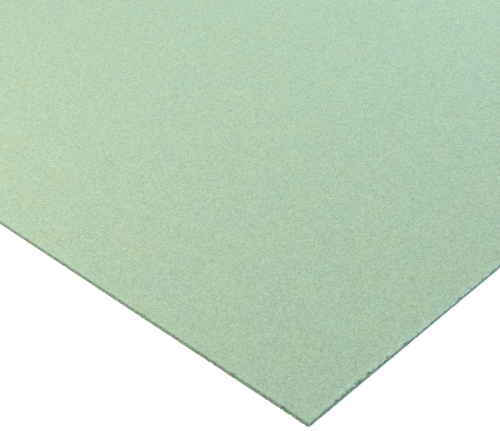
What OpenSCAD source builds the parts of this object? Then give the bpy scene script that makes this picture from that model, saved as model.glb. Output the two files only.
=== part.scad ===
// Fibreboard underlay board: a thin pressed wood-fibre sheet that is laid on a subfloor
// under a floating floor. It is one piece, pressed flat and sawn square on all four edges.
// Millimetres. The board lies flat, centred on the origin, with its underside at z = 0,
// its length along X and its width along Y.

/* [Board] */
// Length of the long edges
board_length = 790; // [400:1:1250]
// Width across the long edges
board_width = 590; // [300:1:1250]
// Thickness of the pressed sheet
board_thickness = 5; // [3:0.1:12]

/* [Sawn edges] */
// How far the crumbled arris falls back from the square edge, on both faces
arris_wear = 0.4; // [0.1:0.05:1]
// Radius of the blunted corners, seen from above
corner_radius = 0.6; // [0.3:0.1:8]

/* [Hidden] */

// Sides of a full circle at the corners
corner_sides = 64;
// How far a section runs past the board's ends, so that it cuts cleanly
overrun = 1;

// The sheet seen from above: a rectangle with blunted corners
module plan_outline() {
    inner_length = board_length - 2 * corner_radius;
    inner_width = board_width - 2 * corner_radius;
    square([board_length, inner_width], center = true);
    square([inner_length, board_width], center = true);
    for (x = [-1, 1], y = [-1, 1])
        translate([x * inner_length / 2, y * inner_width / 2])
            circle(r = corner_radius, $fn = corner_sides);
}

// The sheet cut across: a flat bar of the given breadth with all four arrises worn back
module section_outline(breadth) {
    side = breadth / 2;
    polygon([
        [-side + arris_wear, 0],
        [side - arris_wear, 0],
        [side, arris_wear],
        [side, board_thickness - arris_wear],
        [side - arris_wear, board_thickness],
        [-side + arris_wear, board_thickness],
        [-side, board_thickness - arris_wear],
        [-side, arris_wear]
    ]);
}

// A section that runs along Y, standing on z = 0
module bar_along_y(breadth, run) {
    rotate([90, 0, 0])
        linear_extrude(height = run, center = true)
            section_outline(breadth);
}

// The one solid: the plan outline, with the worn arrises of both pairs of edges
module underlay_board() {
    color("#a3c3a4")
        intersection() {
            linear_extrude(height = board_thickness)
                plan_outline();
            bar_along_y(board_length, board_width + 2 * overrun);
            rotate([0, 0, 90])
                bar_along_y(board_width, board_length + 2 * overrun);
        }
}

underlay_board();
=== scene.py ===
import math

import bpy
import numpy as np
from mathutils import Matrix, Vector


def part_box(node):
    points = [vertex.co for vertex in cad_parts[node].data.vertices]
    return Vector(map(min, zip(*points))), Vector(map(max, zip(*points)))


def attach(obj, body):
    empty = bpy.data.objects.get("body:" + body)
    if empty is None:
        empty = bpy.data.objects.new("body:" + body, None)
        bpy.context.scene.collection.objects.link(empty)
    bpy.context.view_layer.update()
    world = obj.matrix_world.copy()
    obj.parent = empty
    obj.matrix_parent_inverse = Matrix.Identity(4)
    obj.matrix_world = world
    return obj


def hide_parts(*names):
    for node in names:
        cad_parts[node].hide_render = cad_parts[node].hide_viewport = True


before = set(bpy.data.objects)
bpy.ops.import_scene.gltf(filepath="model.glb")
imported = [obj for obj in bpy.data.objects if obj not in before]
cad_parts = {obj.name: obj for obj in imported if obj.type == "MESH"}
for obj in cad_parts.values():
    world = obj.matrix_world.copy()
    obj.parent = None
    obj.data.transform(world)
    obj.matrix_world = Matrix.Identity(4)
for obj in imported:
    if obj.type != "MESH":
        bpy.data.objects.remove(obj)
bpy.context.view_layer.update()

mm = 0.001  # metres in a millimetre
scene = bpy.context.scene
boardLow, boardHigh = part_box("underlay_board")
boardMiddle = (boardLow + boardHigh) / 2
nearCorner = Vector((boardHigh.x, boardLow.y, boardLow.z))
print("frame loaded, board", [round(v / mm, 1) for v in boardHigh - boardLow], "mm")


# Small helpers for node trees

def tint(hexColour):
    parts = [int(hexColour[i:i + 2], 16) / 255 for i in (0, 2, 4)]
    linear = [p / 12.92 if p <= 0.04045 else ((p + 0.055) / 1.055) ** 2.4 for p in parts]
    return (*linear, 1.0)


def feed(tree, node, feeds):
    # links each socket and sets each plain value
    for key, value in feeds.items():
        socket = node.inputs[key]
        if isinstance(value, bpy.types.NodeSocket):
            tree.links.new(value, socket)
        else:
            socket.default_value = value


def addNode(tree, kind, feeds=None, **settings):
    node = tree.nodes.new(kind)
    for name, value in settings.items():
        setattr(node, name, value)
    feed(tree, node, feeds or {})
    return node


def firstOut(tree, kind, feeds=None, **settings):
    return addNode(tree, kind, feeds, **settings).outputs[0]


def calc(tree, operation, *values):
    return firstOut(tree, "ShaderNodeMath", dict(enumerate(values)), operation=operation)


def minus(tree, first, second):
    return calc(tree, "SUBTRACT", first, second)


def times(tree, first, *others):
    for other in others:
        first = calc(tree, "MULTIPLY", first, other)
    return first


def timesPlus(tree, value, factor, extra):
    return calc(tree, "MULTIPLY_ADD", value, factor, extra)


def vectorCalc(tree, operation, *vectors):
    feeds = dict(enumerate(vectors))
    return firstOut(tree, "ShaderNodeVectorMath", feeds, operation=operation)


def scaled(tree, vector, factor):
    return firstOut(tree, "ShaderNodeVectorMath", {0: vector, 3: factor}, operation="SCALE")


def joinXYZ(tree, x=0.0, y=0.0, z=0.0):
    return firstOut(tree, "ShaderNodeCombineXYZ", {0: x, 1: y, 2: z})


def splitXYZ(tree, vector):
    return addNode(tree, "ShaderNodeSeparateXYZ", {0: vector}).outputs


def splitColour(tree, colour):
    return addNode(tree, "ShaderNodeSeparateColor", {0: colour}).outputs


def remap(tree, value, fromLow, fromHigh, toLow=0.0, toHigh=1.0):
    feeds = {0: value, 1: fromLow, 2: fromHigh, 3: toLow, 4: toHigh}
    return firstOut(tree, "ShaderNodeMapRange", feeds, interpolation_type="SMOOTHSTEP")


def between(tree, share, low, high):
    return remap(tree, share, 0.0, 1.0, low, high)


def mixColour(tree, share, first, second, blend="MIX"):
    feeds = {0: share, 6: first, 7: second}
    return addNode(tree, "ShaderNodeMix", feeds, data_type="RGBA", blend_type=blend).outputs[2]


def noiseNode(tree, vector, scale, detail=2.0, roughness=0.5):
    feeds = {"Vector": vector, "Scale": scale, "Detail": detail, "Roughness": roughness}
    return addNode(tree, "ShaderNodeTexNoise", feeds).outputs


def noise(tree, vector, size, detail=2.0, roughness=0.5):
    return noiseNode(tree, vector, 1 / size, detail, roughness)[0]


def newGroup(name, kind, inputs, outputs):
    # inputs and outputs list the names of the sockets of each type
    tree = bpy.data.node_groups.new(name, kind)
    for direction, sockets in (("INPUT", inputs), ("OUTPUT", outputs)):
        for valueType, names in sockets.items():
            for socketName in names:
                socketType = "NodeSocket" + valueType
                tree.interface.new_socket(socketName, in_out=direction, socket_type=socketType)
    return tree, tree.nodes.new("NodeGroupInput").outputs, tree.nodes.new("NodeGroupOutput")


def useGroup(tree, group, feeds):
    return addNode(tree, "ShaderNodeGroup", feeds, node_tree=group).outputs


# Camera, at the photo's viewing angle

cameraSettings = {
    "lens": 97.96,  # mm
    "sensorWidth": 36.0,  # mm, across the image's width
    "imageSize": (500, 431),  # pixels
    "azimuth": 52.26,  # degrees round the board
    "elevation": 37.73,  # degrees above the floor
    "roll": -9.83,  # degrees about the line of sight
    "nearCornerPixel": (308.5, 427.75),  # where the board's near bottom corner shows
    "nearCornerDepth": 1.04,  # metres ahead of the lens
    "clip": (0.01, 100.0),  # metres, the nearest and the farthest that it sees
}


def makeCamera(view):
    turn, rise = math.radians(view["azimuth"]), math.radians(view["elevation"])
    back = Vector((math.sin(turn) * math.cos(rise), -math.cos(turn) * math.cos(rise), math.sin(rise)))
    facing = (-back).to_track_quat("-Z", "Y").to_matrix()
    facing = facing @ Matrix.Rotation(math.radians(view["roll"]), 3, "Z")
    width, height = view["imageSize"]
    focalPixels = view["lens"] / view["sensorWidth"] * width
    pixelX, pixelY = view["nearCornerPixel"]
    ray = Vector(((pixelX - width / 2) / focalPixels, (height / 2 - pixelY) / focalPixels, -1.0))
    data = bpy.data.cameras.new("photoCamera")
    data.lens = view["lens"]
    data.sensor_width = view["sensorWidth"]
    data.clip_start, data.clip_end = view["clip"]
    camera = bpy.data.objects.new("photoCamera", data)
    place = nearCorner - facing @ (ray * view["nearCornerDepth"])
    camera.matrix_world = Matrix.Translation(place) @ facing.to_4x4()
    scene.collection.objects.link(camera)
    scene.camera = camera


makeCamera(cameraSettings)
print("camera placed")


# Floor and light: a pale floor, a warm soft box on the left, a cool one on the right

floorSettings = {
    "halfSide": 12.0,  # metres
    "colour": "fafaf8",
    "roughness": 0.9,
    "specular": 0.1,
    "glow": 0.2,  # keeps the floor white beside the board
}

lightSettings = {
    "world": {"colour": (0.94, 0.98, 1.0), "strength": 0.95},
    "keySoftBox": {
        "place": (-0.25, -0.7, 0.5),
        "aim": (-0.1, -0.25, 0.0),
        "side": 0.9,  # metres
        "power": 6.7,  # watts
        "colour": (1.0, 0.77, 0.55),
    },
    "fillSoftBox": {
        "place": (0.3, 0.8, 0.6),
        "aim": (0.25, 0.05, 0.0),
        "side": 0.9,
        "power": 9.0,
        "colour": (0.57, 0.86, 1.0),
    },
}


def makeFloor(look):
    half = look["halfSide"]
    mesh = bpy.data.meshes.new("floor")
    corners = [(-half, -half, 0), (half, -half, 0), (half, half, 0), (-half, half, 0)]
    mesh.from_pydata(corners, [], [(0, 1, 2, 3)])
    material = bpy.data.materials.new("paleFloor")
    material.use_nodes = True
    tree = material.node_tree
    feed(tree, tree.nodes["Principled BSDF"], {
        "Base Color": tint(look["colour"]),
        "Roughness": look["roughness"],
        "Specular IOR Level": look["specular"],
        "Emission Color": tint(look["colour"]),
        "Emission Strength": look["glow"],
    })
    mesh.materials.append(material)
    floor = bpy.data.objects.new("floor", mesh)
    scene.collection.objects.link(floor)


def makeSoftBox(name, box):
    data = bpy.data.lights.new(name, "AREA")
    data.size = box["side"]
    data.energy = box["power"]
    data.color = box["colour"]
    lamp = bpy.data.objects.new(name, data)
    lamp.location = box["place"]
    lamp.rotation_euler = (Vector(box["aim"]) - lamp.location).to_track_quat("-Z", "Y").to_euler()
    lamp.visible_camera = False
    scene.collection.objects.link(lamp)


def makeWorld(sky):
    world = bpy.data.worlds.new("studio")
    world.use_nodes = True
    tree = world.node_tree
    feeds = {"Color": (*sky["colour"], 1.0), "Strength": sky["strength"]}
    feed(tree, tree.nodes["Background"], feeds)
    scene.world = world


makeFloor(floorSettings)
makeWorld(lightSettings["world"])
for boxName in ("keySoftBox", "fillSoftBox"):
    makeSoftBox(boxName, lightSettings[boxName])
scene.view_settings.view_transform = "Standard"
print("floor and lights set")


# Shared shader groups: single fibres, felted fibre, sawn fibre and specks

strokeSettings = {
    "seedSlant": 1.7,  # how far a seed moves the cells along Y, for each step along X
    "halfLength": (0.35, 0.2),  # shares of the length: what chance adds, and the least
    "endFade": (1.0, 0.7),  # shares of the half length where a fibre has faded out, and is whole
    "sideFade": (0.5, 0.15),  # and shares of its width
}

feltSettings = {
    "cloud": (38.0, 3.0, 0.55),  # size in mm, detail and roughness of each noise
    "flock": (6.5, 3.0, 0.6),
    "grain": (1.35, 3.5, 0.6),
    "ridge": (2.8, 2.0, 0.5),
    "dye": (0.42, 1.5),  # blotches in each mm, and detail
    "cloudFade": (0.3, 0.7),  # noise where the warm colour starts, and is whole
    "squiggleFade": (0.0, 0.09),  # height of the ridge noise, from a dark line to the ground beside it
    "paleTones": (0.45, 0.95),  # tones from which a fibre turns pale, and is palest
    "darkTones": (0.4, 0.05),  # and turns dark
    "relief": {"grain": 0.9, "flock": 0.7, "squiggle": 0.25, "fibre": 0.6},  # shares of the height
    "layers": (  # spacing, length, width and seed of each layer of fibres, in mm
        (2.6, 3.2, 0.24, 3.1),
        (1.9, 2.2, 0.18, 17.3),
        (3.7, 5.0, 0.30, 41.9),
        (1.4, 1.5, 0.15, 77.7),
    ),
}

sawnSettings = {
    "squash": (0.3, 0.3, 1.0),  # the layers lie flat, so they run farther than they rise
    "layer": (0.6, 3.0, 0.65),  # size in mm, detail and roughness
    "torn": (2.2, 5.0, 0.75),
    "shares": (0.45, 0.55),  # of the layers and of the torn fibre
    "fleckFade": (0.5, 0.62),  # noise where a light fleck starts, and is whole
    "poreFade": (0.49, 0.38),  # and a dark pore
    "ends": 2.2,  # cut fibre ends in each mm
    "endFade": (0.6, 0.2),  # shares of their spacing
    "endTone": 0.45,  # ends of this tone are neither light nor dark
    "endShade": 0.7,
    "endRelief": 0.25,
}

speckSettings = {
    "wobble": (1.1, 4.0, 0.65),  # waves in each mm, detail and roughness of the ragged outline
    "wobbleReach": 2.6,  # mm
    "radii": (0.7, 0.3),  # shares of the radius: what chance adds, and the least
    "fade": (1.0, 0.55),  # shares of the radius where a speck has faded out, and is whole
}


def scatterCells(tree, place, spacing):
    # flat cells with a point in each, and three chance numbers for every cell
    feeds = {"Vector": place, "Scale": calc(tree, "DIVIDE", 1.0, spacing)}
    cells = addNode(tree, "ShaderNodeTexVoronoi", feeds, voronoi_dimensions="2D").outputs
    return cells, splitColour(tree, cells["Color"])


def makeFibreStrokes(stroke):
    # one short bent fibre in each cell, lying at its own angle in the plane of X and Y
    tree, given, made = newGroup("fibreStrokes", "ShaderNodeTree", {
        "Vector": ["Vector"],
        "Float": ["Spacing", "Length", "Width", "Seed"],
    }, {"Float": ["Mask", "Tone"]})
    shift = joinXYZ(tree, given["Seed"], times(tree, given["Seed"], stroke["seedSlant"]))
    place = vectorCalc(tree, "ADD", given["Vector"], shift)
    cells, chances = scatterCells(tree, place, given["Spacing"])
    feeds = {
        "Vector": vectorCalc(tree, "SUBTRACT", place, cells["Position"]),
        "Angle": times(tree, chances[0], 2 * math.pi),
    }
    turned = firstOut(tree, "ShaderNodeVectorRotate", feeds, rotation_type="Z_AXIS")
    along, across, _ = splitXYZ(tree, turned)
    half = times(tree, given["Length"], timesPlus(tree, chances[2], *stroke["halfLength"]))
    share = calc(tree, "DIVIDE", along, half)
    bend = minus(tree, chances[1], 0.5)
    bow = times(tree, bend, times(tree, share, share))
    bowed = timesPlus(tree, bow, half, across)
    inLength = remap(tree, calc(tree, "ABSOLUTE", share), *stroke["endFade"])
    offLine = calc(tree, "DIVIDE", calc(tree, "ABSOLUTE", bowed), given["Width"])
    inWidth = remap(tree, offLine, *stroke["sideFade"])
    tone = addNode(tree, "ShaderNodeTexWhiteNoise", {0: cells["Position"]}, noise_dimensions="2D")
    feed(tree, made, {"Mask": times(tree, inLength, inWidth), "Tone": tone.outputs["Value"]})
    return tree


def makeFeltedFibre(strokes, felt):
    # the pressed face: cloudy felt, fine grain and fibres that lie every way
    tree, given, made = newGroup("feltedFibre", "ShaderNodeTree", {
        "Vector": ["Vector"],
        "Color": ["Cool", "Warm", "Pale Fibre", "Dark Fibre"],
        "Float": ["Grain", "Flock", "Squiggle", "Dye", "Fibre"],
    }, {"Color": ["Color"], "Float": ["Height"]})
    vector = given["Vector"]
    flock, grain, ridge = [
        minus(tree, noise(tree, vector, *felt[name]), 0.5) for name in ("flock", "grain", "ridge")
    ]
    squiggle = remap(tree, calc(tree, "ABSOLUTE", ridge), *felt["squiggleFade"], -0.5, 0.5)
    shade, height = 1.0, 0.0
    for name, part in (("flock", flock), ("grain", grain), ("squiggle", squiggle)):
        shade = timesPlus(tree, part, given[name.capitalize()], shade)
        height = timesPlus(tree, part, felt["relief"][name], height)
    cloud = remap(tree, noise(tree, vector, *felt["cloud"]), *felt["cloudFade"])
    colour = mixColour(tree, cloud, given["Cool"], given["Warm"])
    colour = scaled(tree, colour, shade)
    dyed = noiseNode(tree, vector, *felt["dye"])["Color"]
    colour = mixColour(tree, given["Dye"], colour, dyed, "OVERLAY")
    for layer in felt["layers"]:
        sizes = dict(zip(("Spacing", "Length", "Width", "Seed"), layer))
        mask, tone = useGroup(tree, strokes, {"Vector": vector, **sizes})
        strength = times(tree, mask, given["Fibre"])
        pale = times(tree, strength, remap(tree, tone, *felt["paleTones"]))
        dark = times(tree, strength, remap(tree, tone, *felt["darkTones"]))
        colour = mixColour(tree, pale, colour, given["Pale Fibre"])
        colour = mixColour(tree, dark, colour, given["Dark Fibre"])
        height = timesPlus(tree, times(tree, mask, tone), felt["relief"]["fibre"], height)
    feed(tree, made, {"Color": colour, "Height": height})
    return tree


def makeSawnFibre(cut):
    # the cut edge: fibre layers that run with the face, torn by the saw into light and dark flecks
    tree, given, made = newGroup("sawnFibre", "ShaderNodeTree", {
        "Vector": ["Vector"],
        "Color": ["Ground", "Fleck", "Pore"],
    }, {"Color": ["Color"], "Float": ["Height"]})
    vector = given["Vector"]
    layer = noise(tree, vectorCalc(tree, "MULTIPLY", vector, cut["squash"]), *cut["layer"])
    torn = noise(tree, vector, *cut["torn"])
    parts = [times(tree, part, share) for part, share in zip((layer, torn), cut["shares"])]
    both = calc(tree, "ADD", *parts)
    colour = mixColour(tree, remap(tree, both, *cut["fleckFade"]), given["Ground"], given["Fleck"])
    colour = mixColour(tree, remap(tree, both, *cut["poreFade"]), colour, given["Pore"])
    ends = addNode(tree, "ShaderNodeTexVoronoi", {"Vector": vector, "Scale": cut["ends"]}).outputs
    tone = splitColour(tree, ends["Color"])[0]
    end = remap(tree, ends["Distance"], *cut["endFade"])
    shade = times(tree, end, minus(tree, tone, cut["endTone"]))
    shade = timesPlus(tree, shade, cut["endShade"], 1.0)
    colour = scaled(tree, colour, shade)
    height = timesPlus(tree, times(tree, end, tone), cut["endRelief"], both)
    feed(tree, made, {"Color": colour, "Height": height})
    return tree


def makeSpecks(look):
    # sparse small specks, such as bark, one at most in each cell
    tree, given, made = newGroup("specks", "ShaderNodeTree", {
        "Vector": ["Vector"],
        "Float": ["Spacing", "Radius", "Share"],
    }, {"Float": ["Mask"]})
    wobble = noiseNode(tree, given["Vector"], *look["wobble"])["Color"]
    wobble = scaled(tree, wobble, look["wobbleReach"])
    place = vectorCalc(tree, "ADD", given["Vector"], wobble)
    cells, chances = scatterCells(tree, place, given["Spacing"])
    reach = times(tree, cells["Distance"], given["Spacing"])
    radius = times(tree, given["Radius"], timesPlus(tree, chances[1], *look["radii"]))
    inside = remap(tree, calc(tree, "DIVIDE", reach, radius), *look["fade"])
    chosen = calc(tree, "LESS_THAN", chances[0], given["Share"])
    feed(tree, made, {"Mask": times(tree, inside, chosen)})
    return tree


fibreStrokes = makeFibreStrokes(strokeSettings)
feltedFibre = makeFeltedFibre(fibreStrokes, feltSettings)
sawnFibre = makeSawnFibre(sawnSettings)
specks = makeSpecks(speckSettings)
print("shader groups made")


# Materials of the board

mattFinish = {
    "Specular IOR Level": 0.2,
    "Diffuse Roughness": 0.7,
    "Sheen Weight": 0.06,
    "Sheen Roughness": 0.6,
}

faceSettings = {
    "cool": "96af9a",
    "warm": "9aaf96",
    "paleFibre": "c8d5c0",
    "darkFibre": "637c69",
    "grain": 0.9,  # strength of the finest grain
    "flock": 0.22,  # of the soft clumps
    "squiggle": 0.18,  # of the dark lines between fibres
    "dye": 0.13,  # of the uneven dye
    "fibre": 0.7,  # of the single fibres
    "roughness": 0.92,
    "relief": 0.16,  # mm of bump
    "straw": "c6cfa6",
    "pit": "54705d",
    "bark": "8a7560",
    "specks": (  # colour, spacing and radius in mm, share of the cells, strength
        ("straw", 9.0, 0.8, 0.35, 0.6),
        ("pit", 12.0, 1.05, 0.3, 0.6),
        ("bark", 16.0, 0.75, 0.3, 0.7),
    ),
    "flakes": (  # along the long edge, along the short edge and radius in mm, and colour
        (12, 91, 1.3, "cbb098"),
        (22, 148, 1.4, "9c866a"),
        (82, 47, 0.9, "c0ac90"),
    ),
    "flakeWobble": 0.9,  # waves in each mm of the flakes' outlines
    "flakeReach": 2.0,  # mm
    "flakeCore": 0.3,  # share of the radius that has the full colour
    "flakeStrength": 0.7,
    "scuffed": "bfd6c5",  # fibre rubbed pale along the arris
    "scuffBand": 0.12,  # strength of the faint pale band
    "scuffFleck": 0.62,  # of the pale flecks in it
    "scuffPatch": (3.6, 6.0, 0.6),  # size in mm, detail and roughness of the flecks
    "scuffFade": (0.53, 0.62),  # noise where a fleck starts, and is whole
    "nap": (0.5, 3.0, 0.65),  # size, detail and roughness of the nap of rubbed fibre
    "napSquash": (1.0, 0.45, 1.0),
    "napShade": (0.9, 0.55),  # what the nap adds to the light, and the least
}

edgeSettings = {
    "ground": "6c8a7b",
    "fleck": "a8c1b2",
    "pore": "293f38",
    "skin": 0.8,  # how far the rubbed skin hides the saw cut below the arris
    "skinPatch": (3.2, 6.0, 0.62),  # size in mm, detail and roughness of its patches
    "skinPatchWeight": 2.4,
    "skinFade": (1.65, 2.15),  # where the skin starts to show, and shows in full
    "paintedShade": 0.29,  # how much the painted shade darkens the lower arris and the long edges
    "roughness": 0.95,
    "relief": 0.3,  # mm of bump
}

undersideSettings = {
    "wirePitch": 1.9,  # mm between the wires of the forming screen
    "wireDepth": 0.55,
    "wireShade": 0.14,
    "dentFade": (-0.2, 0.9),  # height of the crossed waves where a dent starts, and is deepest
}

looseFibreLook = {
    "tones": (  # where a colour starts and is reached, on a scale of tones from 0 to 1
        (0.0, 0.3, "warm"),
        (0.3, 0.85, "paleFibre"),
        (0.955, 0.965, "bark"),
    ),
    "streak": 0.5,  # mm
    "streakShade": (0.3, 0.85),  # what a streak adds to the light, and the least
}


def newMaterial(name):
    # comes with its shader, and with the place on the piece in millimetres
    material = bpy.data.materials.new(name)
    material.use_nodes = True
    tree = material.node_tree
    shader = tree.nodes["Principled BSDF"]
    feed(tree, shader, mattFinish)
    place = addNode(tree, "ShaderNodeTexCoord").outputs["Object"]
    return material, tree, shader, scaled(tree, place, 1 / mm)


def readMask(tree, name):
    return addNode(tree, "ShaderNodeAttribute", attribute_name=name).outputs["Fac"]


def finishShader(tree, shader, colour, height, look):
    feeds = {"Strength": 1.0, "Distance": look["relief"] * mm, "Height": height}
    bump = firstOut(tree, "ShaderNodeBump", feeds)
    feed(tree, shader, {"Base Color": colour, "Normal": bump, "Roughness": look["roughness"]})


def addFelt(tree, place, face):
    colours = {"Cool": "cool", "Warm": "warm", "Pale Fibre": "paleFibre", "Dark Fibre": "darkFibre"}
    feeds = {socketName: tint(face[name]) for socketName, name in colours.items()}
    for name in ("grain", "flock", "squiggle", "dye", "fibre"):
        feeds[name.capitalize()] = face[name]
    return useGroup(tree, feltedFibre, {"Vector": place, **feeds})


def addSawCut(tree, place, edge):
    feeds = {name.capitalize(): tint(edge[name]) for name in ("ground", "fleck", "pore")}
    return useGroup(tree, sawnFibre, {"Vector": place, **feeds})


def addSpecks(tree, place, colour, face):
    for name, spacing, radius, share, strength in face["specks"]:
        feeds = {"Vector": place, "Spacing": spacing, "Radius": radius, "Share": share}
        mask = useGroup(tree, specks, feeds)["Mask"]
        colour = mixColour(tree, times(tree, mask, strength), colour, tint(face[name]))
    return colour


def addFlakes(tree, place, colour, face):
    # flakes of bark by the near corner, at measured places
    reach = face["flakeReach"]
    wobble = noiseNode(tree, place, face["flakeWobble"])["Color"]
    wobbled = vectorCalc(tree, "ADD", place, scaled(tree, wobble, reach))
    aside = reach / 2  # the wobble's own mean
    for alongLong, alongShort, radius, flakeColour in face["flakes"]:
        x = boardHigh.x / mm - alongLong + aside
        y = boardLow.y / mm + alongShort + aside
        z = boardHigh.z / mm + aside
        feeds = {0: wobbled, 1: (x, y, z)}
        away = addNode(tree, "ShaderNodeVectorMath", feeds, operation="DISTANCE").outputs["Value"]
        share = remap(tree, away, radius, face["flakeCore"] * radius, 0.0, face["flakeStrength"])
        colour = mixColour(tree, share, colour, tint(flakeColour))
    return colour


def scuffedColour(tree, place, face):
    # rubbed fibre is pale, with a fine nap of its own
    nap = noise(tree, vectorCalc(tree, "MULTIPLY", place, face["napSquash"]), *face["nap"])
    shade = timesPlus(tree, nap, *face["napShade"])
    return scaled(tree, tint(face["scuffed"])[:3], shade)


def addScuffs(tree, place, colour, rubbed, face):
    # a faint pale band beside the arris, with stronger flecks in it
    flecks = remap(tree, noise(tree, place, *face["scuffPatch"]), *face["scuffFade"])
    flecks = times(tree, flecks, face["scuffFleck"])
    share = times(tree, rubbed, calc(tree, "MAXIMUM", flecks, face["scuffBand"]))
    return mixColour(tree, share, colour, scuffedColour(tree, place, face))


def makePressedFace(face, edge):
    material, tree, shader, place = newMaterial("pressedFace")
    felt = addFelt(tree, place, face)
    sawn = addSawCut(tree, place, edge)
    colour = addSpecks(tree, place, felt["Color"], face)
    colour = addFlakes(tree, place, colour, face)
    colour = addScuffs(tree, place, colour, readMask(tree, "rubbed"), face)
    colour = mixColour(tree, readMask(tree, "broken"), colour, sawn["Color"])
    finishShader(tree, shader, colour, felt["Height"], face)
    return material


def makeSawnEdge(face, edge):
    material, tree, shader, place = newMaterial("sawnEdge")
    sawn = addSawCut(tree, place, edge)
    patches = noise(tree, place, *edge["skinPatch"])
    patchy = timesPlus(tree, patches, edge["skinPatchWeight"], readMask(tree, "skin"))
    unbroken = minus(tree, 1.0, readMask(tree, "broken"))
    skin = times(tree, remap(tree, patchy, *edge["skinFade"]), unbroken, edge["skin"])
    colour = mixColour(tree, skin, sawn["Color"], scuffedColour(tree, place, face))
    # painted shade: the sawn edge is darker towards the underside and over the long edges
    unshadedShare = timesPlus(tree, readMask(tree, "paintedShade"), -edge["paintedShade"], 1.0)
    colour = scaled(tree, colour, unshadedShare)
    finishShader(tree, shader, colour, sawn["Height"], edge)
    return material


def makeWireSide(face, underside):
    # the underside keeps the print of the wire screen that the wet felt drained on
    material, tree, shader, place = newMaterial("wireSide")
    felt = addFelt(tree, place, face)
    across, along, _ = splitXYZ(tree, place)
    turns = 2 * math.pi / underside["wirePitch"]
    waves = [calc(tree, "SINE", times(tree, axis, turns)) for axis in (across, along)]
    dents = remap(tree, times(tree, *waves), *underside["dentFade"])
    shade = timesPlus(tree, dents, -underside["wireShade"], 1.0)
    colour = addSpecks(tree, place, felt["Color"], face)
    colour = scaled(tree, colour, shade)
    height = timesPlus(tree, dents, -underside["wireDepth"], felt["Height"])
    finishShader(tree, shader, colour, height, face)
    return material


def makeFibreMaterial(face, look):
    # each fibre keeps one tone from dark to pale, and the last few are bark
    material, tree, shader, place = newMaterial("looseFibre")
    tone = readMask(tree, "tone")
    colour = tint(face["darkFibre"])
    for start, end, name in look["tones"]:
        colour = mixColour(tree, remap(tree, tone, start, end), colour, tint(face[name]))
    streak = noise(tree, place, look["streak"])
    colour = scaled(tree, colour, timesPlus(tree, streak, *look["streakShade"]))
    feed(tree, shader, {"Base Color": colour, "Roughness": face["roughness"]})
    return material


pressedFace = makePressedFace(faceSettings, edgeSettings)
sawnEdge = makeSawnEdge(faceSettings, edgeSettings)
wireSide = makeWireSide(faceSettings, undersideSettings)
looseFibre = makeFibreMaterial(faceSettings, looseFibreLook)
print("materials made")


# The board: a fine band of points round the sawn edges, a coarse grid across the faces

faceZone, edgeZone, undersideZone = 0, 1, 2
zoneMaterials = {  # in the order of the zones
    "Face Material": pressedFace,
    "Edge Material": sawnEdge,
    "Underside Material": wireSide,
}

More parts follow.
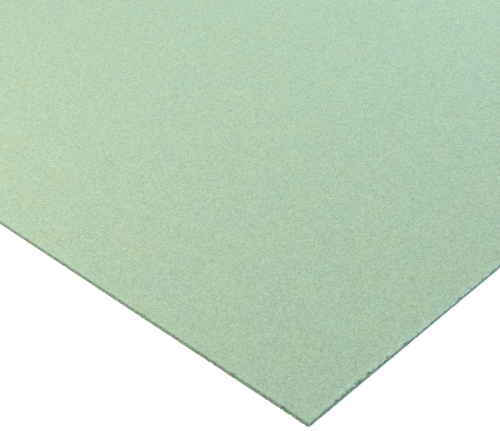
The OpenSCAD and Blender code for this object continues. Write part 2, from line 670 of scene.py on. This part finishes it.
boardSettings = {
    "cornerRadius": 0.6 * mm,
    "leastRadius": 0.1 * mm,  # of the rows inside the blunted corners
    "cornerWear": 4.0 * mm,  # how far from a corner the pale wear goes
    "arcSteps": 4,  # points round each blunted corner
    "edgeStep": 0.55 * mm,  # between points along the edges
    "gridStep": 10.0 * mm,  # between points across the faces
    "gridInset": 10.0 * mm,  # from the edge to the coarse grid
    "faceInsets": (5.0, 2.4, 1.2, 0.6),  # mm, rows on the top face beside the edge
    "undersideInsets": (0.8, 5.0),  # mm, rows on the underside
    "arrisRows": ((0.25, 0.06), (0.06, 0.25)),  # mm in from the edge and down from the face
    "arrisSawn": 0.6,  # how far the saw shows on the rows of the arris
    "sideMargin": 0.6 * mm,  # from a face to the first row on the side
    "sideRows": 5,
    # nicks in the two front edges: distance from the near corner and length in mm, and depth
    "nicksInShortEdge": (
        (32, 6, 0.8), (42, 8, 0.9), (58, 12, 1.0), (68, 6, 1.0), (92, 6, 0.8), (110, 6, 0.7),
        (128, 4, 0.5), (145, 5, 0.45), (169, 4, 0.4), (181, 5, 0.45), (195, 4, 0.4),
    ),
    "nicksInLongEdge": (
        (13, 7, 0.8), (25, 8, 1.0), (37, 9, 0.9), (58, 7, 0.7),
        (84, 8, 0.9), (118, 9, 0.7), (150, 7, 0.8), (196, 8, 0.9),
    ),
    "nickReach": 6.0 * mm,  # how far in from its edge a nick is felt
    "wear": {  # the inputs of the tree that wears the edges
        "Saw Grain": 1.2 * mm,
        "Saw Roughness": 0.3 * mm,
        "Layer Height": 0.9 * mm,
        "Layer Depth": 0.2 * mm,
        "Nibble Length": 3.0 * mm,
        "Nibble From": 0.42,  # noise where a nibble starts
        "Nibble To": 0.78,  # and where it is deepest
        "Short Nibble": 0.65 * mm,  # depth of the nibbles on the short edges
        "Long Nibble": 1.0 * mm,  # and on the long edges
        "Nick Grain": 3.2 * mm,
        "Nick Depth": 1.0 * mm,
        "Least Nick": 0.2,  # share of its depth that the shallowest part of a nick has
        "Least Chip": 0.001 * mm,
        "Chip Steepness": 2.0,  # how far a chip goes down for each step in
        "Chip In": 0.6,  # how much of a chip is broken off inwards
        "Chip Down": 0.4,  # and downwards
        "Crush Length": 14.0 * mm,
        "Crush From": 0.5,  # the radius varies from this share of itself
        "Crush To": 1.4,  # to this one
        "Short Crush": 1.6 * mm,  # radius of the arris that is rubbed round, on the short edges
        "Long Crush": 0.4 * mm,  # on the long edges
        "Low Crush": 0.4 * mm,  # and round the underside
        "Most Crush": 2.2 * mm,
        "Worn Crush": 0.25,  # how much larger the radius is where the edge is worn most
        "Worn From": boardLow.y + 60.0 * mm,  # the short edges are worn more from here on
        "Worn To": boardLow.y + 150.0 * mm,  # and most of all from here
        "Broken From": 0.02 * mm,  # depth of a chip where torn fibre starts to show
        "Broken To": 0.2 * mm,  # and where it shows in full
        "Rubbed Reach": 6.0 * mm,  # how far in from the arris the scuffs go
        "Rubbed Full": 1.0 * mm,  # and where they are strongest
        "Skin Reach": 3.0 * mm,  # how far down the short edges the rubbed skin goes
        "Worn Skin Reach": 4.6 * mm,
        "Skin Full": 0.4 * mm,
        "Skinned Chip": 0.1 * mm,  # width of the chips that keep the skin
        "Bare Chip": 1.1 * mm,  # and of those that have lost it
        "Painted Shade Reach": 2.4 * mm,  # how far up from the underside the painted shade goes
        "Painted Shade Full": 0.3 * mm,
        "Long Handling": 0.3,  # how much the long edges are handled, beside 1 for the short ones
        # painted shade over the whole of each long edge
        "Long Painted Shade": 0.6,
        "Wave Length": 55.0 * mm,
        "Wave Depth": 0.12 * mm,
    },
    "map": {  # mm in a square map: the top face, the half-size underside above it, the edges beside it
        "side": 900,
        "margin": 2,
        "undersideFrom": 598,
        "stripsFrom": 798,
        "stripPitch": 24,
        "stripStretch": 2.5,
    },
}


def edgeRing(inset, plan):
    # points round the board, anticlockwise from the near corner, with their outward directions
    halfX = boardHigh.x - inset
    halfY = boardHigh.y - inset
    radius = max(plan["cornerRadius"] - inset, plan["leastRadius"])
    stepsY = round((boardHigh.y - boardLow.y) / plan["edgeStep"])
    stepsX = round((boardHigh.x - boardLow.x) / plan["edgeStep"])
    places, outward = [], []
    for quarter in range(4):
        steps = (stepsY, stepsX)[quarter % 2]
        halfAlong, halfOut = ((halfY, halfX), (halfX, halfY))[quarter % 2]
        turn = quarter * math.pi / 2
        along = np.array((-math.sin(turn), math.cos(turn)))
        out = np.array((math.cos(turn), math.sin(turn)))
        for share in np.linspace(-1, 1, steps + 1):
            places.append(out * halfOut + along * share * (halfAlong - radius))
            outward.append(out)
        for step in range(1, plan["arcSteps"]):
            bend = step / plan["arcSteps"] * math.pi / 2
            ray = out * math.cos(bend) + along * math.sin(bend)
            places.append(out * (halfOut - radius) + along * (halfAlong - radius) + ray * radius)
            outward.append(ray)
    return np.array(places), np.array(outward)


def edgeRows(plan):
    # rows from the top face over the edge to the underside: inset, height and how far the saw shows
    top = boardHigh.z
    margin = plan["sideMargin"]
    rows = [(inset * mm, top, 0.0) for inset in plan["faceInsets"]]
    rows += [(inward * mm, top - down * mm, plan["arrisSawn"]) for inward, down in plan["arrisRows"]]
    rows += [(0.0, height, 1.0) for height in np.linspace(top - margin, margin, plan["sideRows"])]
    rows += [(inward * mm, up * mm, plan["arrisSawn"]) for inward, up in reversed(plan["arrisRows"])]
    rows += [(inset * mm, 0.0, 0.0) for inset in plan["undersideInsets"]]
    return rows


def coarseGrid(plan, height):
    inset, step = plan["gridInset"], plan["gridStep"]
    nx = round((boardHigh.x - boardLow.x - 2 * inset) / step)
    ny = round((boardHigh.y - boardLow.y - 2 * inset) / step)
    xs = np.linspace(boardLow.x + inset, boardHigh.x - inset, nx + 1)
    ys = np.linspace(boardLow.y + inset, boardHigh.y - inset, ny + 1)
    points = np.array([(x, y, height) for y in ys for x in xs])
    index = np.arange((nx + 1) * (ny + 1)).reshape(ny + 1, nx + 1)
    corners = [index[:-1, :-1], index[:-1, 1:], index[1:, 1:], index[1:, :-1]]
    rim = [*index[:-1, -1], *index[-1, :0:-1], *index[:0:-1, 0], *index[0, :-1]]
    return points, np.stack(corners, -1).reshape(-1, 4), np.array(rim)


def roundTheBoard(points):
    # how far round the board each point is: a whole number at each corner, from 0 at the near one
    u = points[:, 0] / boardHigh.x
    v = points[:, 1] / boardHigh.y
    side = np.select([u >= np.maximum(abs(v), 1e-9), v >= abs(u), -u >= abs(v)], [0, 1, 2], 3)
    leads = [v / abs(u), -u / abs(v), -v / abs(u)]
    lead = np.select([side == 0, side == 1, side == 2], leads, u / abs(v))
    return side + (lead + 1) / 2


def stitch(outer, inner, outerTurn, innerTurn):
    # triangles between two loops that both run anticlockwise
    faces = []
    wholeTurn = 4.0
    i = j = 0
    while i < len(outer) or j < len(inner):
        nextOuter = outerTurn[i + 1] if i + 1 < len(outer) else wholeTurn
        nextInner = innerTurn[j + 1] if j + 1 < len(inner) else wholeTurn
        a, b = outer[i % len(outer)], inner[j % len(inner)]
        if j >= len(inner) or (i < len(outer) and nextOuter <= nextInner):
            faces.append((a, outer[(i + 1) % len(outer)], b))
            i += 1
        else:
            faces.append((a, inner[(j + 1) % len(inner)], b))
            j += 1
    return faces


def nickStrength(places, plan):
    # 1 in the middle of a nick, 0 away from all of them
    strength = np.zeros(len(places))
    x, y = places[:, 0], places[:, 1]
    onShort = x > boardHigh.x - plan["nickReach"]
    onLong = y < boardLow.y + plan["nickReach"]
    edges = (
        (plan["nicksInShortEdge"], y - boardLow.y, onShort),
        (plan["nicksInLongEdge"], boardHigh.x - x, onLong),
    )
    for nicks, away, onEdge in edges:
        for distance, length, depth in nicks:
            dip = depth * np.clip(1 - (2 * abs(away / mm - distance) / length) ** 2, 0, 1)
            strength = np.maximum(strength, np.where(onEdge, dip, 0))
    return strength


weightNames = ("sawn", "inset", "depth", "lower", "strip", "nick", "corner")


def bandPoints(plan):
    # for each row its points, their outward directions, and weights in the order of weightNames
    points, outwards, weights = [], [], []
    rows = edgeRows(plan)
    lastInset, lastHeight, _ = rows[0]
    strip = 0.0
    for inset, height, sawn in rows:
        strip += math.hypot(inset - lastInset, height - lastHeight)
        lastInset, lastHeight = inset, height
        ring, outward = edgeRing(inset, plan)
        lower = float(height < boardMiddle.z)
        depth = min(boardHigh.z - height, height)
        same = np.tile((sawn, inset, depth, lower, strip), (len(ring), 1))
        nick = nickStrength(ring, plan) * (1 - lower)
        fromCorner = (boardHigh.x - abs(ring[:, 0])) + (boardHigh.y - abs(ring[:, 1])) - inset
        corner = np.clip(1 - fromCorner / plan["cornerWear"], 0, 1)
        points.append(np.column_stack([ring, np.full(len(ring), height)]))
        outwards.append(np.column_stack([outward, np.zeros(len(ring))]))
        weights.append(np.column_stack([same, nick, corner]))
    return points, outwards, weights


def bandFaces(rowCount, count, plan):
    firstSide = len(plan["faceInsets"])
    lastSide = firstSide + 2 * len(plan["arrisRows"]) + plan["sideRows"] - 2
    faces, zones = [], []
    for row in range(rowCount - 1):
        above, below = row * count, (row + 1) * count
        for here in range(count):
            there = (here + 1) % count
            faces.append((above + here, below + here, below + there, above + there))
        zone = faceZone if row < firstSide else edgeZone if row <= lastSide else undersideZone
        zones += [zone] * count
    return faces, zones


def storeValues(mesh, name, values, kind="FLOAT", domain="POINT"):
    numbers = np.asarray(values, np.int32 if kind == "INT" else np.float32).ravel()
    layer = mesh.attributes.new(name, kind, domain)
    layer.data.foreach_set("vector" if kind == "FLOAT_VECTOR" else "value", numbers)


def makeBoardMesh(plan):
    points, outwards, weights = bandPoints(plan)
    rowCount, count = len(points), len(points[0])
    faces, zones = bandFaces(rowCount, count, plan)
    for zone, height, row in ((faceZone, boardHigh.z, 0), (undersideZone, 0.0, rowCount - 1)):
        grid, cells, rim = coarseGrid(plan, height)
        start = sum(len(p) for p in points)
        ring = np.arange(count) + row * count
        seam = stitch(ring, rim + start, roundTheBoard(points[row]), roundTheBoard(grid[rim]))
        cap = [tuple(c) for c in cells + start] + seam
        faces += cap if zone == faceZone else [f[::-1] for f in cap]
        zones += [zone] * len(cap)
        points.append(grid)
        outwards.append(np.zeros((len(grid), 3)))
        lower = float(zone == undersideZone)
        weights.append(np.tile((0, plan["gridInset"], 0, lower, 0, 0, 0), (len(grid), 1)))
    allPoints = np.concatenate(points)
    allWeights = np.concatenate(weights)
    mesh = bpy.data.meshes.new("underlayBoard")
    mesh.from_pydata(allPoints.tolist(), [], [tuple(map(int, f)) for f in faces])
    for k, name in enumerate(weightNames):
        storeValues(mesh, name, allWeights[:, k])
    storeValues(mesh, "topFace", allPoints[:, 2] > boardHigh.z - 1e-6)
    storeValues(mesh, "outward", np.concatenate(outwards), "FLOAT_VECTOR")
    storeValues(mesh, "zone", zones, "INT", "FACE")
    return mesh


def readField(tree, name, kind="FLOAT"):
    node = addNode(tree, "GeometryNodeInputNamedAttribute", {"Name": name}, data_type=kind)
    return node.outputs["Attribute"]


def readPlace(tree):
    return firstOut(tree, "GeometryNodeInputPosition")


def change(tree, geometry, kind, **feeds):
    return firstOut(tree, kind, {"Geometry": geometry, **feeds})


def storeField(tree, geometry, name, value, domain):
    feeds = {"Geometry": geometry, "Name": name, "Value": value}
    kind = "GeometryNodeStoreNamedAttribute"
    return firstOut(tree, kind, feeds, data_type="FLOAT", domain=domain)


def inZone(tree, zone):
    feeds = {2: readField(tree, "zone", "INT"), 3: zone}
    return firstOut(tree, "FunctionNodeCompare", feeds, data_type="INT", operation="EQUAL")


def fieldNoise(tree, vector, size, detail, roughness=0.6):
    return noiseNode(tree, vector, calc(tree, "DIVIDE", 1.0, size), detail, roughness)[0]


def centred(tree, field, amount):
    return times(tree, minus(tree, field, 0.5), amount)


def readFields(tree, given):
    names = ("sawn", "inset", "depth", "lower", "nick", "corner", "topFace")
    field = {name: readField(tree, name) for name in names}
    field["outward"] = readField(tree, "outward", "FLOAT_VECTOR")
    field["place"] = readPlace(tree)
    field["upper"] = minus(tree, 1.0, field["lower"])
    outX = splitXYZ(tree, field["outward"])[0]
    field["onShort"] = times(tree, outX, outX)
    acrossBoard = splitXYZ(tree, field["place"])[1]
    field["worn"] = remap(tree, acrossBoard, given["Worn From"], given["Worn To"])
    return field


def sawMarks(tree, given, field):
    # the saw's torn grain, and the fibre layers that it has laid bare
    rough = fieldNoise(tree, field["place"], given["Saw Grain"], detail=2.0)
    squash = (0.2, 0.2, 1.0)  # the layers run farther than they rise
    stretched = vectorCalc(tree, "MULTIPLY", field["place"], squash)
    layers = fieldNoise(tree, stretched, given["Layer Height"], detail=1.0)
    rough = centred(tree, rough, given["Saw Roughness"])
    layers = centred(tree, layers, given["Layer Depth"])
    return times(tree, calc(tree, "ADD", rough, layers), field["sawn"])


def rubRound(tree, given, field):
    # each arris is rubbed round: a point outside the arc goes back to it, on a ray from the arc's centre
    topCrush = between(tree, field["onShort"], given["Long Crush"], given["Short Crush"])
    crush = between(tree, field["lower"], topCrush, given["Low Crush"])
    uneven = fieldNoise(tree, field["place"], given["Crush Length"], detail=2.0)
    uneven = remap(tree, uneven, 0.3, 0.7, given["Crush From"], given["Crush To"])
    radius = times(tree, crush, uneven, timesPlus(tree, field["worn"], given["Worn Crush"], 1.0))
    radius = calc(tree, "MINIMUM", radius, given["Most Crush"])
    fromSide = minus(tree, field["inset"], radius)
    fromFace = minus(tree, field["depth"], radius)
    ray = joinXYZ(tree, fromSide, fromFace)
    reach = addNode(tree, "ShaderNodeVectorMath", {0: ray}, operation="LENGTH").outputs["Value"]
    inCorner = times(tree, *[calc(tree, "LESS_THAN", away, 0.0) for away in (fromSide, fromFace)])
    pull = minus(tree, calc(tree, "DIVIDE", radius, reach), 1.0)
    pull = times(tree, pull, inCorner)
    return times(tree, fromSide, pull), times(tree, fromFace, pull)


def breakChips(tree, given, field, roundIn, roundDown):
    # chips break the arris away: how far a point stands in front of a chip's plane, and the chip's size
    toEdge = scaled(tree, field["outward"], field["inset"])
    onEdge = vectorCalc(tree, "ADD", field["place"], toEdge)
    onEdge = vectorCalc(tree, "MULTIPLY", onEdge, (1.0, 1.0, 0.0))
    onEdge = vectorCalc(tree, "ADD", onEdge, joinXYZ(tree, z=field["lower"]))
    nibble = fieldNoise(tree, onEdge, given["Nibble Length"], detail=4.0)
    nibble = remap(tree, nibble, given["Nibble From"], given["Nibble To"])
    ragged = fieldNoise(tree, onEdge, given["Nick Grain"], detail=3.0)
    ragged = remap(tree, ragged, 0.3, 0.6, given["Least Nick"], 1.0)
    nibbleDepth = between(tree, field["onShort"], given["Long Nibble"], given["Short Nibble"])
    width = times(tree, nibble, nibbleDepth)
    nick = times(tree, field["nick"], ragged)
    width = timesPlus(tree, nick, given["Nick Depth"], width)
    width = calc(tree, "MAXIMUM", width, given["Least Chip"])
    height = times(tree, width, given["Chip Steepness"])
    inShare = calc(tree, "DIVIDE", calc(tree, "ADD", field["inset"], roundIn), width)
    downShare = calc(tree, "DIVIDE", calc(tree, "ADD", field["depth"], roundDown), height)
    cut = minus(tree, minus(tree, 1.0, inShare), downShare)
    return calc(tree, "MAXIMUM", cut, 0.0), width, height


def wornOffset(tree, given, field, inward, downward):
    # inwards from the edge, towards the middle of the thickness, and the face's slight wave
    wave = fieldNoise(tree, field["place"], given["Wave Length"], detail=1.0)
    wave = times(tree, wave, given["Wave Depth"])
    upward = between(tree, field["lower"], -1.0, 1.0)
    rise = times(tree, downward, upward)
    rise = minus(tree, rise, times(tree, wave, field["topFace"]))
    back = scaled(tree, field["outward"], times(tree, inward, -1.0))
    return vectorCalc(tree, "ADD", back, joinXYZ(tree, z=rise))


def wearMasks(tree, given, field, cut, width):
    # what the materials read: broken fibre in the chips, rubbed fibre beside the arris, skin above the
    # saw cut, and painted shade below it and over the long edges
    onShort, depth = field["onShort"], field["depth"]
    handled = between(tree, onShort, given["Long Handling"], 1.0)
    broken = remap(tree, times(tree, cut, width), given["Broken From"], given["Broken To"])
    rubbed = remap(tree, field["inset"], given["Rubbed Reach"], given["Rubbed Full"])
    rubbed = times(tree, rubbed, handled, field["upper"])
    skinReach = between(tree, field["worn"], given["Skin Reach"], given["Worn Skin Reach"])
    skin = remap(tree, depth, skinReach, given["Skin Full"])
    kept = remap(tree, width, given["Bare Chip"], given["Skinned Chip"])
    skin = times(tree, skin, onShort, field["upper"], kept)
    skin = calc(tree, "MAXIMUM", skin, times(tree, field["corner"], handled))
    # painted shade: darker towards the underside, and over the whole of each long edge
    paintedShade = remap(tree, depth, given["Painted Shade Reach"], given["Painted Shade Full"])
    paintedShade = times(tree, paintedShade, field["lower"])
    paintedShade = calc(tree, "MAXIMUM", paintedShade, between(tree, onShort, given["Long Painted Shade"], 0.0))
    return {"broken": broken, "rubbed": rubbed, "skin": skin, "paintedShade": paintedShade}


def makeCrumbleTree(plan):
    # wears the square edges: saw marks on the side, crumbled arrises, a slight wave in the face
    tree, given, made = newGroup("crumbledEdges", "GeometryNodeTree", {
        "Geometry": ["Geometry"],
        "Float": plan["wear"],
        "Material": zoneMaterials,
    }, {"Geometry": ["Geometry"]})
    field = readFields(tree, given)
    roundIn, roundDown = rubRound(tree, given, field)
    cut, width, height = breakChips(tree, given, field, roundIn, roundDown)
    chipIn = times(tree, cut, width, given["Chip In"])
    chipDown = times(tree, cut, height, given["Chip Down"])
    torn = sawMarks(tree, given, field)
    inward = calc(tree, "ADD", torn, calc(tree, "ADD", roundIn, chipIn))
    downward = calc(tree, "ADD", roundDown, chipDown)
    offset = wornOffset(tree, given, field, inward, downward)
    geometry = given["Geometry"]
    for name, value in wearMasks(tree, given, field, cut, width).items():
        geometry = storeField(tree, geometry, name, value, "POINT")
    geometry = change(tree, geometry, "GeometryNodeSetPosition", Offset=offset)
    geometry = change(tree, geometry, "GeometryNodeRealizeInstances")
    for zone, name in enumerate(zoneMaterials):
        feeds = {"Selection": inZone(tree, zone), "Material": given[name]}
        geometry = change(tree, geometry, "GeometryNodeSetMaterial", **feeds)
    feed(tree, made, {"Geometry": geometry})
    return tree


def applyTree(name, mesh, tree, values):
    # runs a node tree on a mesh and keeps the result as a plain mesh at the origin
    maker = bpy.data.objects.new(name + "Maker", mesh)
    scene.collection.objects.link(maker)
    modifier = maker.modifiers.new("nodes", "NODES")
    modifier.node_group = tree
    for item in tree.interface.items_tree:
        if item.in_out == "INPUT" and item.name in values:
            modifier[item.identifier] = values[item.name]
    depsgraph = bpy.context.evaluated_depsgraph_get()
    plain = bpy.data.meshes.new_from_object(maker.evaluated_get(depsgraph))
    maker.modifiers.clear()
    bpy.data.objects.remove(maker)
    plain.name = name
    plain.polygons.foreach_set("use_smooth", [True] * len(plain.polygons))
    piece = bpy.data.objects.new(name, plain)
    scene.collection.objects.link(piece)
    return piece


def countTriangles(piece):
    return sum(len(p.vertices) - 2 for p in piece.data.polygons)


def readValues(items, name, kind, width=1):
    values = np.empty(len(items) * width, kind)
    items.foreach_get(name, values)
    return values.reshape(-1, width) if width > 1 else values


def addMap(mesh, across, along):
    layer = mesh.uv_layers.new(name="OFBake")
    layer.data.foreach_set("uv", np.column_stack([across, along]).astype(np.float32).ravel())


def layOutBoard(mesh, layout):
    # the faces lie flat, and each edge is a strip from its top arris to its lower one
    points = readValues(mesh.vertices, "co", np.float32, 3)
    centres = readValues(mesh.polygons, "center", np.float32, 3)
    strip = readValues(mesh.attributes["strip"].data, "value", np.float32) / mm
    loops = readValues(mesh.loops, "vertex_index", np.int32)
    sizes = readValues(mesh.polygons, "loop_total", np.int32)
    zone = np.repeat(readValues(mesh.attributes["zone"].data, "value", np.int32), sizes)
    onShort = boardHigh.x - abs(centres[:, 0]) < boardHigh.y - abs(centres[:, 1])
    positive = np.where(onShort, centres[:, 0], centres[:, 1]) > 0
    side = np.repeat(2 * onShort + positive, sizes)
    x = (points[loops, 0] - boardLow.x) / mm
    y = (points[loops, 1] - boardLow.y) / mm
    margin = layout["margin"]
    flat = [zone == faceZone, zone == undersideZone]
    stripStart = layout["stripsFrom"] + layout["stripPitch"] * side
    stripAcross = stripStart + layout["stripStretch"] * strip[loops]
    stripAlong = np.where(side > 1, y, x) + margin
    across = np.select(flat, [x + margin, x / 2 + margin], stripAcross)
    along = np.select(flat, [y + margin, y / 2 + layout["undersideFrom"]], stripAlong)
    addMap(mesh, across / layout["side"], along / layout["side"])


def makeBoard(plan):
    values = {**plan["wear"], **zoneMaterials}
    piece = applyTree("underlayBoardPiece", makeBoardMesh(plan), makeCrumbleTree(plan), values)
    layOutBoard(piece.data, plan["map"])
    return piece


board = makeBoard(boardSettings)
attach(board, "root")
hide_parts("underlay_board")
print("board made,", countTriangles(board), "triangles")


# Loose fibres: short strands that stand out of the saw cut, and flat shives pressed into the face

strandSettings = {
    "sides": 3,
    "steps": 4,  # along each strand
    "bends": (-0.35, 0.12, 0.45),  # of the middle of each kind, as shares of its length
    "taper": 0.6,
    "scales": (0.55, 1.5),  # of the smallest and the largest strand
    "floorGap": 0.02 * mm,  # no strand comes nearer to the floor
}

looseFibreSettings = {
    "edgeFibres": {
        "zone": edgeZone,
        "density": 0.2 / mm ** 2,
        "length": 1.3 * mm,
        "thickness": 0.05 * mm,
        "flatness": 1.0,
        "lift": math.radians(50),  # the most that a fibre stands up
        "seed": 4,
    },
    "faceShives": {
        "zone": faceZone,
        "density": 0.0022 / mm ** 2,
        "length": 2.8 * mm,
        "thickness": 0.2 * mm,
        "flatness": 0.35,
        "lift": math.radians(2.5),
        "seed": 9,
    },
}


def makeStrands(tree, given, strand):
    # one tapered strand of each bend
    feeds = {"Resolution": strand["sides"], "Radius": given["Thickness"]}
    section = firstOut(tree, "GeometryNodeCurvePrimitiveCircle", feeds)
    along = addNode(tree, "GeometryNodeSplineParameter").outputs["Factor"]
    taper = timesPlus(tree, along, -strand["taper"], 1.0)
    flat = joinXYZ(tree, 1.0, 1.0, given["Flatness"])
    half = times(tree, given["Length"], 0.5)
    tip = joinXYZ(tree, given["Length"])
    strands = tree.nodes.new("GeometryNodeJoinGeometry")
    for bend in strand["bends"]:
        middle = joinXYZ(tree, half, times(tree, given["Length"], bend))
        feeds = {"Resolution": strand["steps"], "Start": (0, 0, 0), "Middle": middle, "End": tip}
        line = firstOut(tree, "GeometryNodeCurveQuadraticBezier", feeds)
        feeds = {"Curve": line, "Profile Curve": section, "Scale": taper, "Fill Caps": True}
        body = firstOut(tree, "GeometryNodeCurveToMesh", feeds)
        body = change(tree, body, "GeometryNodeTransform", Scale=flat)
        single = change(tree, body, "GeometryNodeGeometryToInstance")
        tree.links.new(single, strands.inputs[0])
    return strands.outputs[0]


def chance(tree, given, kind, low, high, step):
    # each draw has a seed of its own, a few steps on from the piece's seed
    first = {"FLOAT_VECTOR": 0, "FLOAT": 2, "INT": 4}[kind]
    feeds = {first: low, first + 1: high, 8: calc(tree, "ADD", given["Seed"], step)}
    return addNode(tree, "FunctionNodeRandomValue", feeds, data_type=kind).outputs[first // 2]


def scatterStrands(tree, given, strand):
    # strands on one zone of the board, each turned, tilted, scaled and toned by chance
    scatter = addNode(tree, "GeometryNodeDistributePointsOnFaces", {
        "Mesh": given["Geometry"],
        "Selection": inZone(tree, given["Zone"]),
        "Density": given["Density"],
        "Seed": given["Seed"],
    }).outputs
    tilt = joinXYZ(tree, y=times(tree, given["Lift"], -1.0))
    turn = chance(tree, given, "FLOAT_VECTOR", tilt, (0.0, 0.0, 2 * math.pi), 1)
    feeds = {"Rotation": scatter["Rotation"], "Rotate By": turn}
    facing = firstOut(tree, "FunctionNodeRotateRotation", feeds, rotation_space="LOCAL")
    laid = addNode(tree, "GeometryNodeInstanceOnPoints", {
        "Points": scatter["Points"],
        "Instance": makeStrands(tree, given, strand),
        "Pick Instance": True,
        "Instance Index": chance(tree, given, "INT", 0, len(strand["bends"]) - 1, 2),
        "Rotation": facing,
        "Scale": chance(tree, given, "FLOAT", *strand["scales"], 3),
    }).outputs[0]
    return storeField(tree, laid, "tone", chance(tree, given, "FLOAT", 0.0, 1.0, 4), "INSTANCE")


def makeFibreTree(strand):
    tree, given, made = newGroup("looseFibres", "GeometryNodeTree", {
        "Geometry": ["Geometry"],
        "Int": ["Zone", "Seed"],
        "Float": ["Density", "Length", "Thickness", "Flatness", "Lift"],
        "Material": ["Material"],
    }, {"Geometry": ["Geometry"]})
    geometry = scatterStrands(tree, given, strand)
    geometry = change(tree, geometry, "GeometryNodeRealizeInstances")
    x, y, z = splitXYZ(tree, readPlace(tree))
    above = joinXYZ(tree, x, y, calc(tree, "MAXIMUM", z, strand["floorGap"]))
    geometry = change(tree, geometry, "GeometryNodeSetPosition", Position=above)
    geometry = change(tree, geometry, "GeometryNodeSetMaterial", Material=given["Material"])
    feed(tree, made, {"Geometry": geometry})
    return tree


def layOutStrands(mesh, strand):
    # each strand has its own cell: its rings side by side, the points of a ring above each other
    sides, rings = strand["sides"], strand["steps"] + 1
    margin, spread, pitch = 0.2, 0.6, 0.2  # shares of a cell
    loops = readValues(mesh.loops, "vertex_index", np.int32)
    number, point = np.divmod(loops, sides * rings)
    cells = math.ceil(math.sqrt(len(mesh.vertices) / (sides * rings)))
    across = number % cells + margin + spread * (point // sides) / rings
    along = number // cells + margin + pitch * (point % sides)
    addMap(mesh, across / cells, along / cells)


fibreTree = makeFibreTree(strandSettings)
for pieceName, settings in looseFibreSettings.items():
    values = {name.capitalize(): value for name, value in settings.items()}
    fibres = applyTree(pieceName, board.data.copy(), fibreTree, {**values, "Material": looseFibre})
    layOutStrands(fibres.data, strandSettings)
    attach(fibres, "root")
    print(pieceName, "made,", countTriangles(fibres), "triangles")
